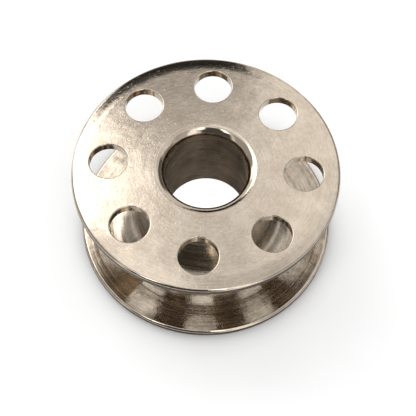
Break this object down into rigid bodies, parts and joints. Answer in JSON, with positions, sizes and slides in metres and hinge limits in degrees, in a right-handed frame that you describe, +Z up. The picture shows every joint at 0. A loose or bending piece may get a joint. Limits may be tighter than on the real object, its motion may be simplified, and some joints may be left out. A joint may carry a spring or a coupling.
{
  "type": "sewing machine bobbin",
  "caption": "Low turned metal spool for sewing thread: a short core with a straight bore between thin round flanges, the upper one pierced by a ring of round holes and the lower one met in a wide hollow curve.",
  "frame": {"origin": "centre of the underside of the lower flange, where the bobbin stands", "axes": "+Z up the bore, towards the pierced flange; +X through the centre of a hole in that flange"},
  "size_m": [0.0254, 0.0254, 0.0111],
  "materials": {
    "nickel_plated_steel": "turned, nickel plated and polished, with a fine concentric grain"
  },
  "bodies": {
    "root": {"bobbin": "nickel_plated_steel"}
  },
  "joints": []
}
